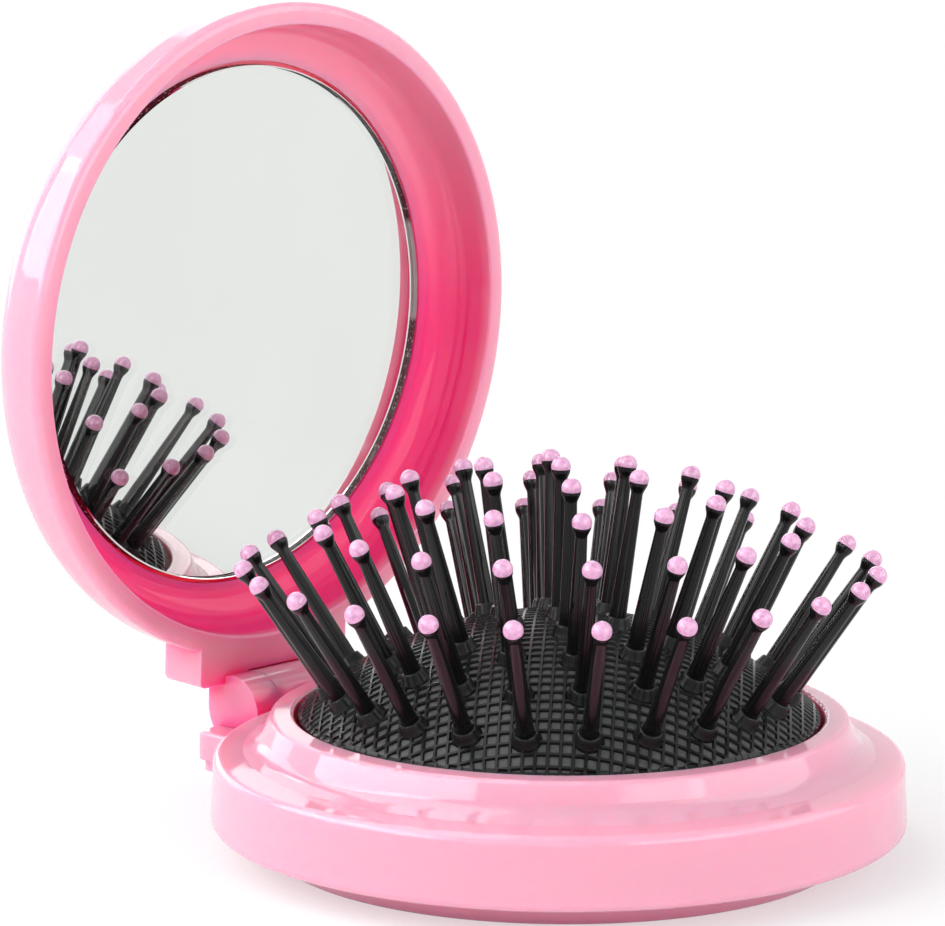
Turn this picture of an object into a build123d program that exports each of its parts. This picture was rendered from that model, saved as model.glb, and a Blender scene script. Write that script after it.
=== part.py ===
from build123d import *
import math
import os

# Pocket brush with a mirror lid. Lengths in millimetres, angles in degrees.
# The origin is the middle of the ring that the brush case stands on, +Z is up,
# and the hinge runs along Y on the -X side. The lid is drawn shut and then swung open.

# Brush case, outside
case_radius = 33.0            # at the ledge's edge; the lid's rim is as wide
wall_draft = 0.35             # the wall is this much wider at its foot than at the ledge
wall_foot_height = 2.6
wall_height = 6.8             # foot of the wall to the ledge
ledge_width = 2.8
ledge_fall = 0.45             # the ledge drops this much from its crease to its outer edge
case_edge_round = 0.9
crease_round = 0.4
cove_width = 1.5              # crease to the corner that the ring's hollow flank is rounded from
cove_rise = 1.3               # ledge to that corner
cove_round = 2.4
flank_width = 1.2             # that corner to the ring's top
ring_width = 2.2              # the raised ring's top, up to the opening
ring_rise = 4.0               # ledge to the ring's top
ring_top_fall = 0.2
ring_top_round = 0.6
opening_edge_round = 0.4
foot_width = 2.1              # of the ring that the case stands on
foot_edge_round = 0.35
back_slope_width = 2.3        # foot ring's edge to the crease of the flat back
shelf_set_back = 0.1          # the flat back lies this much inside the wall's foot

# Brush case, inside
case_wall = 1.8
tube_wall = 1.9               # wall of the short tube round the opening
core_width = 1.0              # flat roof of the hollow between the tube and the outer wall
shelf_wall = 1.6
spigot_wall = 1.6             # the back case's upstand, which fits in the front case
spigot_height = 1.9
case_fit = 0.12               # clearance between the two cases
snap_depth = 0.25
snap_height = 0.8
snap_lead = 0.35

# Rubber cushion, popped out to the front
cushion_wall = 1.1
cushion_fit = 0.35            # clearance between the cushion's sleeve and the case
cushion_rise = 9.4            # edge of the dome to its top
cushion_edge_drop = 0.4       # top of the case's ring down to the edge of the dome
flange_thickness = 1.6        # held between the two cases
bead_width = 1.0
bead_overlap = 0.4
collar_radius = 1.4
collar_top_radius = 1.12
collar_height = 1.2
collar_sink = 0.3

# Bristles, on rings at equal steps of angle round the dome's centre
ring_count = 4
bristles_in_first_ring = 6
outer_ring_margin = 3.62      # opening's edge to the roots of the outermost bristles
pattern_turn = 18.6           # turn of the pattern about Z
bristle_length = 14.6         # dome's face to the centre of the ball tip
bristle_root_radius = 0.82
bristle_neck_radius = 0.58
neck_length = 1.1             # centre of the ball down to the end of the taper
ball_radius = 0.93
coat_line = 0.22              # the coloured coat ends this far under the ball's centre
head_radius = 1.6
head_thickness = 0.8
head_edge_round = 0.35
head_gap = 0.12               # clearance between the head and the cushion's inner face
bristle_fit = 0.05            # clearance round the bristle in its hole

# Hinge
pivot_offset = 4.44           # edge of the ledge out to the hinge line
pivot_drop = 0.91             # ledge down to the hinge line
open_angle = 87.6             # how far the lid stands open, where it meets its stop
knuckle_radius = 3.5
knuckle_width = 7.0
lug_width = 3.3
lug_gap = 0.15
lug_foot = 0.65               # the lug's neck reaches this far into the lid's block
hinge_turn_gap = 0.15         # round the turning knuckles
hinge_pin_radius = 0.9
hinge_running_fit = 0.06
pin_end_chamfer = 0.25
pin_end_wall = 0.9            # the near lug is closed by this much; the pin goes in from the far one
pin_end_gap = 0.1
tab_width = 20.6
tab_overhang = 2.06           # hinge line out to the end of the tab
tab_top_drop = 1.79           # hinge line down to the tab's top
tab_parting_rise = 1.25       # wall's foot up to where the front case's tab meets the tongue
tab_corner_round = 1.2
tab_edge_round = 0.4
tongue_inset = 0.4
tongue_gap = 0.12
block_set_back = 2.44         # hinge line in to the lid's hinge block
block_height = 5.55           # from the lid's rim up
block_edge_round = 0.7
stop_reach = 3.4              # the knuckle's stop heel, out from the hinge line
stop_gap = 0.03

# Mirror lid, as it lies shut on the ledge
lid_gap = 0.05                # least clearance of the lid's rim over the sloping ledge
lid_draft = 0.35
lip_width = 2.25
lip_inner_round = 0.3
lip_outer_round = 0.9
shoulder_round = 5.5
lid_crown = 0.9               # rise of the back from its shoulder to its middle
lid_back_wall = 0.84          # thinnest wall behind the mirror
mirror_margin = 4.65          # lip's inner edge to the mirror's edge
mirror_depth = 6.11           # rim to the mirror's face
mirror_proud = 0.25           # the glass stands this much above the bowl's floor
mirror_fit = 0.45
glass_thickness = 1.1
glass_edge_chamfer = 0.25
backing_thickness = 0.12
adhesive_thickness = 0.2
adhesive_inset = 1.5
bowl_draft = 0.35
bowl_round = 3.2

round_limit_share = 0.92      # largest share of a wall that a rounding may take
overrun = 2.0                 # cutters run past the solid by this much

# Worked-out sizes of the case
ledge_height = wall_foot_height + wall_height
ring_height = ledge_height + ring_rise
cove_height = ledge_height + cove_rise
crease_radius = case_radius - ledge_width
cove_radius = crease_radius - cove_width
ring_top_radius = cove_radius - flank_width
opening_radius = ring_top_radius - ring_width
foot_radius = opening_radius + foot_width
back_crease_radius = foot_radius + back_slope_width
wall_inner_radius = case_radius - case_wall
tube_radius = opening_radius + tube_wall
wall_foot_radius = case_radius + wall_draft
ledge_underside = ledge_height - case_wall
flange_middle = ring_height / 2
flange_top = flange_middle + flange_thickness / 2
flange_bottom = flange_middle - flange_thickness / 2
shelf_height = wall_foot_height + shelf_set_back
shelf_top = shelf_height + shelf_wall
spigot_top = shelf_top + spigot_height
spigot_radius = wall_inner_radius - case_fit
snap_middle = (shelf_top + spigot_top) / 2

# Worked-out sizes of the cushion and bristles
sleeve_radius = opening_radius - cushion_fit
cushion_radius = (sleeve_radius ** 2 + cushion_rise ** 2) / (2 * cushion_rise)
cushion_top_height = ring_height - cushion_edge_drop + cushion_rise
dome_centre = cushion_top_height - cushion_radius
outer_ring_angle = math.degrees(math.asin((opening_radius - outer_ring_margin) / cushion_radius))
ring_step_angle = outer_ring_angle / ring_count
bristle_hole_radius = bristle_root_radius + bristle_fit
head_top = -cushion_wall - head_gap
head_bottom = head_top - head_thickness
coat_plane = bristle_length - coat_line

# Worked-out sizes of the hinge
pivot_reach = case_radius + pivot_offset
pivot_height = ledge_height - pivot_drop
tab_reach = pivot_reach + tab_overhang
tab_top_height = pivot_height - tab_top_drop
tab_parting_height = wall_foot_height + tab_parting_rise
block_reach = pivot_reach - block_set_back
lug_inner = knuckle_width / 2 + lug_gap
lug_outer = lug_inner + lug_width
hinge_clear_radius = knuckle_radius + hinge_turn_gap
hinge_line = Axis((-pivot_reach, 0, pivot_height), (0, 1, 0))

# Worked-out sizes of the lid
lip_radius = case_radius - lip_width
lip_fillet = min(lip_inner_round, round_limit_share * lip_width / 2)
rim_fillet = min(lip_outer_round, round_limit_share * lip_width / 2)
seat_rise = ledge_fall * (lip_width - lip_fillet) / ledge_width
rim_height = ledge_height + seat_rise + lid_gap
mirror_height = rim_height + mirror_depth
bowl_floor = mirror_height + mirror_proud
glass_back = mirror_height + glass_thickness
backing_back = glass_back + backing_thickness
recess_floor = backing_back + adhesive_thickness
shoulder_height = recess_floor + lid_back_wall
block_top = rim_height + block_height
mirror_radius = lip_radius - mirror_margin
shoulder_fillet = min(shoulder_round, round_limit_share * (shoulder_height - rim_height - rim_fillet))
bowl_fillet = min(bowl_round, round_limit_share * (mirror_margin - mirror_fit - bowl_draft))


# Closed outline in radius and height; each corner gives its own rounding
def rounded_face(corners):
    arcs = []
    ends = []
    befores = corners[-1:] + corners[:-1]
    afters = corners[1:] + corners[:1]
    for before, here, after in zip(befores, corners, afters):
        corner = Vector(here[0], here[1])
        to_before = (Vector(before[0], before[1]) - corner).normalized()
        to_after = (Vector(after[0], after[1]) - corner).normalized()
        rounding = here[2]
        if rounding == 0:
            ends.append((corner, corner))
            continue
        half_angle = math.radians(to_before.get_angle(to_after) / 2)
        reach = rounding / math.tan(half_angle)
        bisector = (to_before + to_after).normalized()
        middle = corner + bisector * (rounding / math.sin(half_angle) - rounding)
        start = corner + to_before * reach
        stop = corner + to_after * reach
        arcs.append(ThreePointArc(start, middle, stop))
        ends.append((start, stop))
    lines = [Line(a[1], b[0]) for a, b in zip(ends, ends[1:] + ends[:1])]
    return make_face(lines + arcs)


# Turned solid from an outline in radius and height
def turned(corners):
    return revolve(Plane.XZ * rounded_face(corners), Axis.Z)


# Bar along Y from an outline in X and Z, centred on the middle plane
def bar(face, width):
    return extrude(Plane.XZ * face, width / 2, both=True)


# Round bar along the hinge line, between two places on Y
def hinge_cylinder(radius, start, stop):
    middle = Pos(-pivot_reach, (start + stop) / 2, pivot_height)
    return middle * Rotation(90, 0, 0) * Cylinder(radius, stop - start)


# Solid disc or ring between two heights
def disc(radius, bottom, top):
    return Pos(0, 0, (bottom + top) / 2) * Cylinder(radius, top - bottom)


# Plate with rounded corners and softened top edges
def rounded_plate(near, far, width, bottom, top, corner_round, edge_round):
    middle = Pos((near + far) / 2, 0, (bottom + top) / 2)
    plate = middle * Box(abs(far - near), width, top - bottom)
    plate = fillet(plate.edges().filter_by(Axis.Z).group_by(Axis.X)[0], corner_round)
    if edge_round == 0:
        return plate
    return fillet(plate.faces().sort_by(Axis.Z)[-1].edges(), edge_round)


def front_case():
    outside = turned([
        (opening_radius, wall_foot_height, 0),
        (opening_radius, ring_height, opening_edge_round),
        (ring_top_radius, ring_height - ring_top_fall, ring_top_round),
        (cove_radius, cove_height, cove_round),
        (crease_radius, ledge_height + ledge_fall, crease_round),
        (case_radius, ledge_height, case_edge_round),
        (wall_foot_radius, wall_foot_height, case_edge_round),
    ])
    inside = turned([
        (opening_radius - overrun, wall_foot_height - overrun, 0),
        (opening_radius - overrun, flange_top, 0),
        (tube_radius, flange_top, 0),
        (tube_radius, ring_height - case_wall - ring_top_round, 0),
        (wall_inner_radius - core_width, ledge_underside, 0),
        (wall_inner_radius, ledge_underside, 0),
        (wall_inner_radius, snap_middle + snap_height / 2 + snap_lead, 0),
        (wall_inner_radius + snap_depth, snap_middle + snap_height / 2, 0),
        (wall_inner_radius + snap_depth, snap_middle - snap_height / 2, 0),
        (wall_inner_radius, snap_middle - snap_height / 2 - snap_lead, 0),
        (wall_inner_radius, wall_foot_height - overrun, 0),
    ])
    tab = rounded_plate(-tab_reach, -wall_inner_radius + case_wall, tab_width,
                        tab_parting_height, tab_top_height, tab_corner_round, tab_edge_round)
    knuckle = hinge_cylinder(knuckle_radius, -knuckle_width / 2, knuckle_width / 2)
    web_face = rounded_face([
        (-tab_reach, tab_parting_height, 0),
        (-wall_inner_radius, tab_parting_height, 0),
        (-wall_inner_radius, tab_top_height, 0),
        (-pivot_reach + knuckle_radius, tab_top_height, 0),
        (-pivot_reach + knuckle_radius, pivot_height, 0),
        (-tab_reach, pivot_height, 0),
    ])
    web = bar(web_face, knuckle_width)
    heel_top = block_set_back - stop_gap
    heel_face = rounded_face([
        (-pivot_reach, pivot_height, 0),
        (-pivot_reach + heel_top, pivot_height, 0),
        (-pivot_reach + heel_top, pivot_height + stop_reach, 0),
        (-pivot_reach, pivot_height + stop_reach, 0),
    ])
    heel = bar(heel_face, knuckle_width).rotate(hinge_line, -open_angle)
    pocket_end = lug_outer + lug_gap
    pockets = [
        hinge_cylinder(hinge_clear_radius, -pocket_end, -knuckle_width / 2),
        hinge_cylinder(hinge_clear_radius, knuckle_width / 2, pocket_end),
    ]
    slot_half = tab_width / 2 - tongue_inset + tongue_gap
    slot_bottom = wall_foot_height - overrun
    tongue_slot = Pos(-case_radius, 0, (slot_bottom + tab_parting_height) / 2) * Box(
        2 * case_wall + 2 * overrun, 2 * slot_half, tab_parting_height - slot_bottom)
    pin_hole = hinge_cylinder(hinge_pin_radius, -knuckle_width, knuckle_width)
    return outside + tab + knuckle + web + heel - inside - tongue_slot - pockets - pin_hole


def back_case():
    ring = turned([
        (opening_radius, 0, foot_edge_round),
        (opening_radius, flange_bottom, 0),
        (tube_radius, flange_bottom, 0),
        (tube_radius, shelf_top, 0),
        (spigot_radius - spigot_wall, shelf_top, 0),
        (spigot_radius - spigot_wall, spigot_top, 0),
        (spigot_radius, spigot_top, snap_lead),
        (spigot_radius, snap_middle + snap_height / 2, 0),
        (spigot_radius + snap_depth, snap_middle, 0),
        (spigot_radius, snap_middle - snap_height / 2, 0),
        (spigot_radius, shelf_height, 0),
        (back_crease_radius, shelf_height, crease_round),
        (foot_radius, 0, foot_edge_round),
    ])
    tongue = rounded_plate(-tab_reach + tongue_inset, -spigot_radius + spigot_wall,
                           tab_width - 2 * tongue_inset, shelf_height,
                           tab_parting_height - tongue_gap, tab_corner_round, 0)
    return ring + (tongue - disc(spigot_radius - spigot_wall, 0, spigot_top))


# Height of a face of the dome over a given distance from its middle
def dome_height(radius, distance):
    return dome_centre + math.sqrt(radius ** 2 - distance ** 2)


# Puts something drawn on +Z, its foot at the origin, on the dome at a bristle's place
def on_dome(ring, turn, piece):
    tilt = Rotation(0, ring * ring_step_angle, 0)
    onto_face = Pos(0, 0, cushion_radius)
    return Pos(0, 0, dome_centre) * Rotation(0, 0, turn) * tilt * onto_face * piece


# Turns about Z of a ring's bristles; the middle one counts as ring 0
def ring_turns(ring):
    count = max(1, bristles_in_first_ring * ring)
    return [pattern_turn + 360 * place / count for place in range(count)]


def cushion_pad():
    inner_radius = cushion_radius - cushion_wall
    sleeve_inner = sleeve_radius - cushion_wall
    outer_mid = cushion_radius * math.sin(math.asin(sleeve_radius / cushion_radius) / 2)
    inner_mid = inner_radius * math.sin(math.asin(sleeve_inner / inner_radius) / 2)
    bead_radius = tube_radius + bead_width
    top = (0, cushion_top_height)
    outer_edge = (sleeve_radius, dome_height(cushion_radius, sleeve_radius))
    inner_edge = (sleeve_inner, dome_height(inner_radius, sleeve_inner))
    inner_top = (0, dome_height(inner_radius, 0))
    path = [
        Line(inner_top, top),
        ThreePointArc(top, (outer_mid, dome_height(cushion_radius, outer_mid)), outer_edge),
        Polyline(outer_edge, (sleeve_radius, flange_top), (tube_radius, flange_top),
                 (tube_radius, flange_top + bead_overlap), (bead_radius, flange_top + bead_overlap),
                 (bead_radius, flange_bottom - bead_overlap),
                 (tube_radius, flange_bottom - bead_overlap), (tube_radius, flange_bottom),
                 (sleeve_inner, flange_bottom), inner_edge),
        ThreePointArc(inner_edge, (inner_mid, dome_height(inner_radius, inner_mid)), inner_top),
    ]
    shell = revolve(Plane.XZ * make_face(path), Axis.Z)
    collar = Pos(0, 0, (collar_height - collar_sink) / 2) * Cone(
        collar_radius, collar_top_radius, collar_height + collar_sink)
    hole = Pos(0, 0, (collar_height - cushion_wall) / 2) * Cylinder(
        bristle_hole_radius, collar_height + cushion_wall + 2 * overrun)
    places = [(ring, turn) for ring in range(ring_count + 1) for turn in ring_turns(ring)]
    shell = shell + [on_dome(ring, turn, collar) for ring, turn in places]
    return shell - [on_dome(ring, turn, hole) for ring, turn in places]


# One bristle with its head, drawn on +Z from the dome's face
def bristle():
    ball_at_neck = bristle_length - math.sqrt(ball_radius ** 2 - bristle_neck_radius ** 2)
    ball_at_coat = math.sqrt(ball_radius ** 2 - coat_line ** 2)
    low_angle = (math.asin(bristle_neck_radius / ball_radius) + math.acos(coat_line / ball_radius)) / 2
    cup_mid = (ball_radius * math.sin(low_angle), bristle_length - ball_radius * math.cos(low_angle))
    path = [
        Polyline((0, coat_plane), (0, head_bottom), (head_radius - head_edge_round, head_bottom),
                 (head_radius, head_bottom + head_edge_round), (head_radius, head_top),
                 (bristle_root_radius, head_top), (bristle_root_radius, collar_height),
                 (bristle_neck_radius, bristle_length - neck_length),
                 (bristle_neck_radius, ball_at_neck)),
        ThreePointArc((bristle_neck_radius, ball_at_neck), cup_mid, (ball_at_coat, coat_plane)),
        Line((ball_at_coat, coat_plane), (0, coat_plane)),
    ]
    return revolve(Plane.XZ * make_face(path), Axis.Z)


# The coloured end of a bristle's ball
def ball_coat():
    ball_at_coat = math.sqrt(ball_radius ** 2 - coat_line ** 2)
    ball_top = bristle_length + ball_radius
    half_angle = math.acos(-coat_line / ball_radius) / 2
    side = (ball_radius * math.sin(half_angle), bristle_length + ball_radius * math.cos(half_angle))
    path = [
        Line((0, coat_plane), (ball_at_coat, coat_plane)),
        ThreePointArc((ball_at_coat, coat_plane), side, (0, ball_top)),
        Line((0, ball_top), (0, coat_plane)),
    ]
    return revolve(Plane.XZ * make_face(path), Axis.Z)


def lid_shell():
    back_height = shoulder_height + lid_crown
    outer = turned([
        (0, rim_height, 0),
        (case_radius, rim_height, rim_fillet),
        (case_radius - lid_draft, shoulder_height, shoulder_fillet),
        (0, shoulder_height, 0),
    ])
    crown_radius = case_radius - lid_draft - shoulder_fillet
    crown_ball = (crown_radius ** 2 + lid_crown ** 2) / (2 * lid_crown)
    # The ball lies on its side, so that its pole doesn't mark the middle of the lid's back.
    crown = Pos(0, 0, back_height - crown_ball) * Rotation(90, 0, 0) * Sphere(crown_ball)
    crown = crown & disc(crown_radius, shoulder_height, back_height + overrun)
    block = rounded_plate(-block_reach, -lip_radius + lip_width, tab_width, rim_height, block_top,
                          block_edge_round, block_edge_round)
    bowl = turned([
        (0, rim_height - overrun, 0),
        (case_radius, rim_height - overrun, 0),
        (case_radius, rim_height, 0),
        (lip_radius, rim_height, lip_fillet),
        (lip_radius - bowl_draft, bowl_floor, bowl_fillet),
        (mirror_radius + mirror_fit, bowl_floor, 0),
        (mirror_radius + mirror_fit, recess_floor, 0),
        (0, recess_floor, 0),
    ])
    lug_face = rounded_face([
        (-pivot_reach, pivot_height, 0),
        (-block_reach + lug_foot, pivot_height, 0),
        (-block_reach + lug_foot, block_top - block_edge_round, 0),
        (-block_reach, pivot_height + knuckle_radius, 0),
        (-pivot_reach, pivot_height + knuckle_radius, 0),
    ])
    lugs = []
    for side in (-1, 1):
        middle = side * (lug_inner + lug_outer) / 2
        lugs.append(Pos(0, middle, 0) * bar(lug_face, lug_width))
        lugs.append(hinge_cylinder(knuckle_radius, middle - lug_width / 2, middle + lug_width / 2))
    knuckle_notch = hinge_cylinder(hinge_clear_radius, -lug_inner, lug_inner)
    pin_hole = hinge_cylinder(hinge_pin_radius + hinge_running_fit, pin_end_wall - lug_outer,
                              lug_outer + overrun)
    return outer + crown + block - bowl - knuckle_notch + lugs - pin_hole


def mirror_glass():
    plate = disc(mirror_radius, mirror_height, glass_back)
    return chamfer(plate.faces().sort_by(Axis.Z)[0].edges(), glass_edge_chamfer)


def hinge_pin():
    pin = hinge_cylinder(hinge_pin_radius, pin_end_wall + pin_end_gap - lug_outer, lug_outer)
    return chamfer(pin.edges().filter_by(GeomType.CIRCLE), pin_end_chamfer)


def swung_open(piece):
    return piece.rotate(hinge_line, -open_angle)


nodes = {
    "front_case": front_case(),
    "back_case": back_case(),
    "cushion_pad": cushion_pad(),
    "hinge_pin": hinge_pin(),
    "lid_shell": swung_open(lid_shell()),
    "mirror_glass": swung_open(mirror_glass()),
    "mirror_backing": swung_open(disc(mirror_radius, glass_back, backing_back)),
    "mirror_adhesive": swung_open(disc(mirror_radius - adhesive_inset, backing_back, recess_floor)),
}

# Bristles in ones and twos; each group turns as one when the cushion is turned in
bristles_per_group = {0: 1, 1: 1, 2: 2, 3: 2, 4: 2}
one_bristle = bristle()
one_coat = ball_coat()
for ring in range(ring_count + 1):
    turns = ring_turns(ring)
    group_size = bristles_per_group[ring]
    for first in range(0, len(turns), group_size):
        solids = []
        for turn in turns[first:first + group_size]:
            solids.append(on_dome(ring, turn, one_bristle))
            solids.append(on_dome(ring, turn, one_coat))
        name = f"bristles_ring{ring}_{first // group_size + 1:02d}" if ring else "bristle_middle"
        nodes[name] = Compound(children=[solid for piece in solids for solid in piece.solids()])

os.makedirs("parts", exist_ok=True)
for name, shape in nodes.items():
    export_step(shape, f"parts/{name}.step")
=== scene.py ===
import math

import bmesh
import bpy
from mathutils import Matrix, Vector


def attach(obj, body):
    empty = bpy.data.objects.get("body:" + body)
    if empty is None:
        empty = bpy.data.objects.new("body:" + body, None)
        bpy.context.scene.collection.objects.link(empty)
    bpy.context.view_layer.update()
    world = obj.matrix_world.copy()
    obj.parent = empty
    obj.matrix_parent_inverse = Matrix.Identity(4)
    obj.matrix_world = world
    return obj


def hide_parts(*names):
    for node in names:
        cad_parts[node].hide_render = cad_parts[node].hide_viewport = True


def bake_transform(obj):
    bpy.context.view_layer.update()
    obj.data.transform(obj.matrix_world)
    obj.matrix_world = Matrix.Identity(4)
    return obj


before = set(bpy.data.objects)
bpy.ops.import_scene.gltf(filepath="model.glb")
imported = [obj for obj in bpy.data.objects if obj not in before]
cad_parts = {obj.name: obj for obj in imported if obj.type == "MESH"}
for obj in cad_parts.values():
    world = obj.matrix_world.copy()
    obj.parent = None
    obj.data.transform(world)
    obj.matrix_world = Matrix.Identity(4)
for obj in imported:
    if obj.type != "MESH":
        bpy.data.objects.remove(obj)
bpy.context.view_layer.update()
print("frame loaded:", len(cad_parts), "CAD nodes")

mm = 0.001


# sRGB hex to Blender's linear colour
def toLinear(hexColour):
    channels = []
    for place in (1, 3, 5):
        value = int(hexColour[place:place + 2], 16) / 255
        channels.append(value / 12.92 if value <= 0.04045 else ((value + 0.055) / 1.055) ** 2.4)
    return (*channels, 1.0)


# Adds one node; settings are its values or properties, links come from other nodes' outputs
def addNode(tree, kind, settings=None, links=None):
    node = tree.nodes.new(kind)
    for name, value in (settings or {}).items():
        if isinstance(name, int) or name in node.inputs:
            node.inputs[name].default_value = value
        else:
            setattr(node, name, value)
    for name, source in (links or {}).items():
        tree.links.new(source, node.inputs[name])
    return node


def startMaterial(name):
    material = bpy.data.materials.new(name)
    material.use_nodes = True
    material.node_tree.nodes.clear()
    return material, material.node_tree


# Noise scale for features of a given size; object coordinates are in metres
def perSize(sizeInMillimetres):
    return 1 / (sizeInMillimetres * mm)


# Moulded ABS from a polished mould: a glossy skin with soft window highlights over a slightly milky pink
# that carries light in its wall; hollows and corners are painted a hot, saturated pink as painted shade and
# bounce light
absPlastic = {
    "colour": "#EAA5BA", "cloudy": "#E6A0B5", "hollow": "#FF1C88", "hollowReach": 9, "hollowFrom": 0.84,
    "hollowTo": 0.62, "hollowShare": 0.85, "cloudSize": 14, "rippleSize": 5, "rippleHeight": 0.012,
    "grainSize": 0.35, "grainHeight": 0.0012, "roughLow": 0.05, "roughHigh": 0.09, "ior": 1.53,
    "specular": 0.62, "hollowSpecular": 0.15, "scatter": 0.85, "scatterReach": 3.5,
    "scatterColours": (1.0, 0.22, 0.36),
}
lidPlastic = dict(absPlastic, hollowShare=0.8)

# Near the paper the foot and the paper light one another; that bounce light is painted into the colour, a
# fuller pink toward the foot's lower edge
foot = {"paleAbove": 2.4, "fullBelow": 0.5, "share": 0.3}

# The lid's dish, drawn with the lid shut: inside the lip the light the pink walls give one another is
# painted in as a deeper pink
dish = {
    "openAngle": 87.6, "pivotReach": 37.44, "pivotHeight": 8.49, "lipFrom": 31.9, "lipTo": 30.9,
    "depthFrom": 9.2, "depthTo": 11.2, "backFrom": 16.45, "backTo": 16.1, "share": 0.86, "freeEnd": 22,
    "hingeEnd": -6, "freeShare": 0.26,
}


# Where a piece drawn with the lid shut goes when the lid stands open, as photographed
def lidPlace():
    pivot = Vector((-dish["pivotReach"], 0, dish["pivotHeight"])) * mm
    return (Matrix.Translation(pivot) @ Matrix.Rotation(-math.radians(dish["openAngle"]), 4, "Y")
            @ Matrix.Translation(-pivot))


# Share of the painted shade colour in the lid, from its open share: most inside the lip and toward the
# hinge
def lidPaintedShade(tree, place, openShare):
    shutting = lidPlace().inverted()
    shut = addNode(tree, "ShaderNodeMapping", {
        "Location": shutting.translation, "Rotation": shutting.to_euler()}, {"Vector": place})
    split = addNode(tree, "ShaderNodeSeparateXYZ", None, {0: shut.outputs["Vector"]})
    flat = addNode(tree, "ShaderNodeVectorMath", {"operation": "MULTIPLY", 1: (1, 1, 0)}, {
        0: shut.outputs["Vector"]})
    reach = addNode(tree, "ShaderNodeVectorMath", {"operation": "LENGTH"}, {0: flat.outputs["Vector"]})
    within = addNode(tree, "ShaderNodeMapRange", {
        "From Min": dish["lipFrom"] * mm, "From Max": dish["lipTo"] * mm, "To Max": dish["share"],
    }, {"Value": reach.outputs["Value"]})
    deep = addNode(tree, "ShaderNodeMapRange", {
        "From Min": dish["depthFrom"] * mm, "From Max": dish["depthTo"] * mm,
    }, {"Value": split.outputs["Z"]})
    beforeBack = addNode(tree, "ShaderNodeMapRange", {
        "From Min": dish["backFrom"] * mm, "From Max": dish["backTo"] * mm,
    }, {"Value": split.outputs["Z"]})
    between = addNode(tree, "ShaderNodeMath", {"operation": "MULTIPLY"}, {
        0: deep.outputs[0], 1: beforeBack.outputs[0]})
    inDish = addNode(tree, "ShaderNodeMath", {"operation": "MULTIPLY"}, {
        0: within.outputs[0], 1: between.outputs[0]})
    either = addNode(tree, "ShaderNodeMath", {"operation": "MAXIMUM"}, {
        0: openShare, 1: inDish.outputs[0]})
    # Painted shade that lessens toward the lid's free end, where more light reaches the dish
    paler = addNode(tree, "ShaderNodeMapRange", {
        "interpolation_type": "SMOOTHSTEP", "From Min": dish["freeEnd"] * mm,
        "From Max": dish["hingeEnd"] * mm, "To Min": dish["freeShare"],
    }, {"Value": split.outputs["X"]})
    return addNode(tree, "ShaderNodeMath", {"operation": "MULTIPLY"}, {
        0: either.outputs[0], 1: paler.outputs[0]}).outputs[0]


# Most of a noise texture's values lie between these two
noise = {"low": 0.3, "high": 0.7}


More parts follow.
